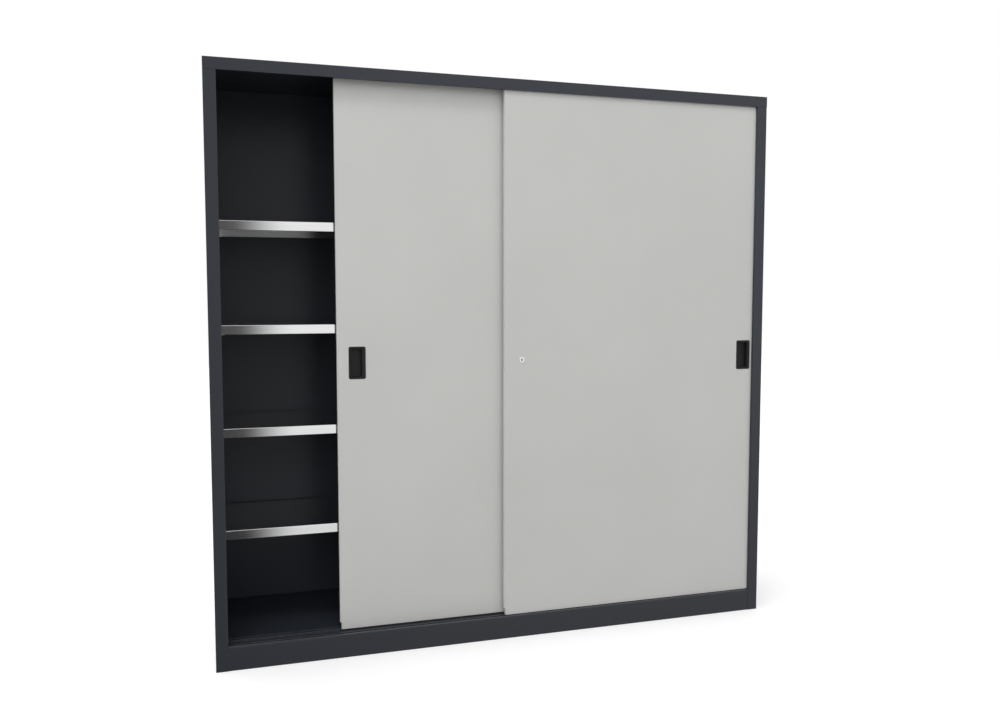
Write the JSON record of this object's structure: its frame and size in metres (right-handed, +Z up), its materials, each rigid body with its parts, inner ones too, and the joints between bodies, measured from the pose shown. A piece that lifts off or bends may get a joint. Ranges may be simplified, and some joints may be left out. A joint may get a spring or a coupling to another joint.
{
  "type": "sliding door cabinet",
  "caption": "Wide sheet-metal cupboard with overlapping sliding doors on rollers, recessed pulls, a cam lock and shelves on clips in two bays.",
  "frame": {"origin": "on the floor, in the middle of the footprint", "axes": "+X to the right along the width, +Y from the doors to the back, +Z up"},
  "size_m": [2, 0.5, 1.95],
  "materials": {
    "graphite_steel": "fine matt powder coat, graphite grey",
    "light_grey_steel": "fine satin powder coat, light grey",
    "galvanised_steel": "zinc-coated sheet",
    "shelf_zinc": "bright zinc-coated sheet, smooth",
    "black_plastic": "moulded, finely grained",
    "zinc_steel": "bright zinc plated",
    "chrome": "polished",
    "white_nylon": "smooth",
    "black_rubber": "matt"
  },
  "bodies": {
    "cabinet": {"left_side_panel": "graphite_steel", "left_back_panel": "graphite_steel", "left_partition_sheet": "graphite_steel", "left_wall_upright": "graphite_steel", "left_corner_post": "graphite_steel", "left_shelf_1": "shelf_zinc", "left_shelf_2": "shelf_zinc", "left_shelf_3": "shelf_zinc", "left_shelf_4": "shelf_zinc", "left_shelf_clips": "zinc_steel", "right_side_panel": "graphite_steel", "right_back_panel": "graphite_steel", "right_partition_sheet": "graphite_steel", "right_wall_upright": "graphite_steel", "right_corner_post": "graphite_steel", "right_shelf_1": "shelf_zinc", "right_shelf_2": "shelf_zinc", "right_shelf_3": "shelf_zinc", "right_shelf_4": "shelf_zinc", "right_shelf_clips": "zinc_steel", "top_cover": "graphite_steel", "floor_panel": "graphite_steel", "front_plinth": "graphite_steel", "rear_plinth": "graphite_steel", "lower_track": "graphite_steel", "back_joint_strip": "graphite_steel", "front_upper_track": "galvanised_steel", "rear_upper_track": "galvanised_steel", "door_buffers": "black_rubber"},
    "left_door": {"left_door_panel": "light_grey_steel", "left_door_stiffeners": "light_grey_steel", "left_handle": "black_plastic", "left_door_guides": "black_plastic", "left_door_left_hanger": "zinc_steel", "left_door_right_hanger": "zinc_steel", "lock_catch": "zinc_steel"},
    "left_door_left_wheel": {"left_door_left_roller": "white_nylon"},
    "left_door_right_wheel": {"left_door_right_roller": "white_nylon"},
    "right_door": {"right_door_panel": "light_grey_steel", "right_door_stiffeners": "light_grey_steel", "right_handle": "black_plastic", "right_door_guides": "black_plastic", "right_door_left_hanger": "zinc_steel", "right_door_right_hanger": "zinc_steel", "lock_housing": "chrome", "lock_clip": "zinc_steel"},
    "right_door_left_wheel": {"right_door_left_roller": "white_nylon"},
    "right_door_right_wheel": {"right_door_right_roller": "white_nylon"},
    "lock_cylinder": {"lock_plug": "chrome", "lock_cam": "zinc_steel", "cam_bolt": "zinc_steel"}
  },
  "joints": [
    {"name": "left_door_slide", "type": "slide", "parent": "cabinet", "child": "left_door", "axis": [1, 0, 0], "range_m": [-0.397, 0.573]},
    {"name": "left_door_left_roll", "type": "hinge", "parent": "left_door", "child": "left_door_left_wheel", "pos_m": [-0.515, -0.1945, 1.9365], "axis": [0, 1, 0], "range_deg": [-2528.4, 3648.8]},
    {"name": "left_door_right_roll", "type": "hinge", "parent": "left_door", "child": "left_door_right_wheel", "pos_m": [0.339, -0.1945, 1.9365], "axis": [0, 1, 0], "range_deg": [-2528.4, 3648.8]},
    {"name": "right_door_slide", "type": "slide", "parent": "cabinet", "child": "right_door", "axis": [1, 0, 0], "range_m": [-0.97, 0]},
    {"name": "right_door_left_roll", "type": "hinge", "parent": "right_door", "child": "right_door_left_wheel", "pos_m": [0.058, -0.229, 1.9365], "axis": [0, 1, 0], "range_deg": [-6176.2, 1]},
    {"name": "right_door_right_roll", "type": "hinge", "parent": "right_door", "child": "right_door_right_wheel", "pos_m": [0.912, -0.229, 1.9365], "axis": [0, 1, 0], "range_deg": [-6176.2, 1]},
    {"name": "lock_turn", "type": "hinge", "parent": "right_door", "child": "lock_cylinder", "pos_m": [0.0416, -0.2385, 0.989], "axis": [0, 1, 0], "range_deg": [0, 90]}
  ],
  "couplings": [
    {"joint": "left_door_left_roll", "follows": "left_door_slide", "rad_per_m": 111.11},
    {"joint": "left_door_right_roll", "follows": "left_door_slide", "rad_per_m": 111.11},
    {"joint": "right_door_left_roll", "follows": "right_door_slide", "rad_per_m": 111.11},
    {"joint": "right_door_right_roll", "follows": "right_door_slide", "rad_per_m": 111.11}
  ]
}
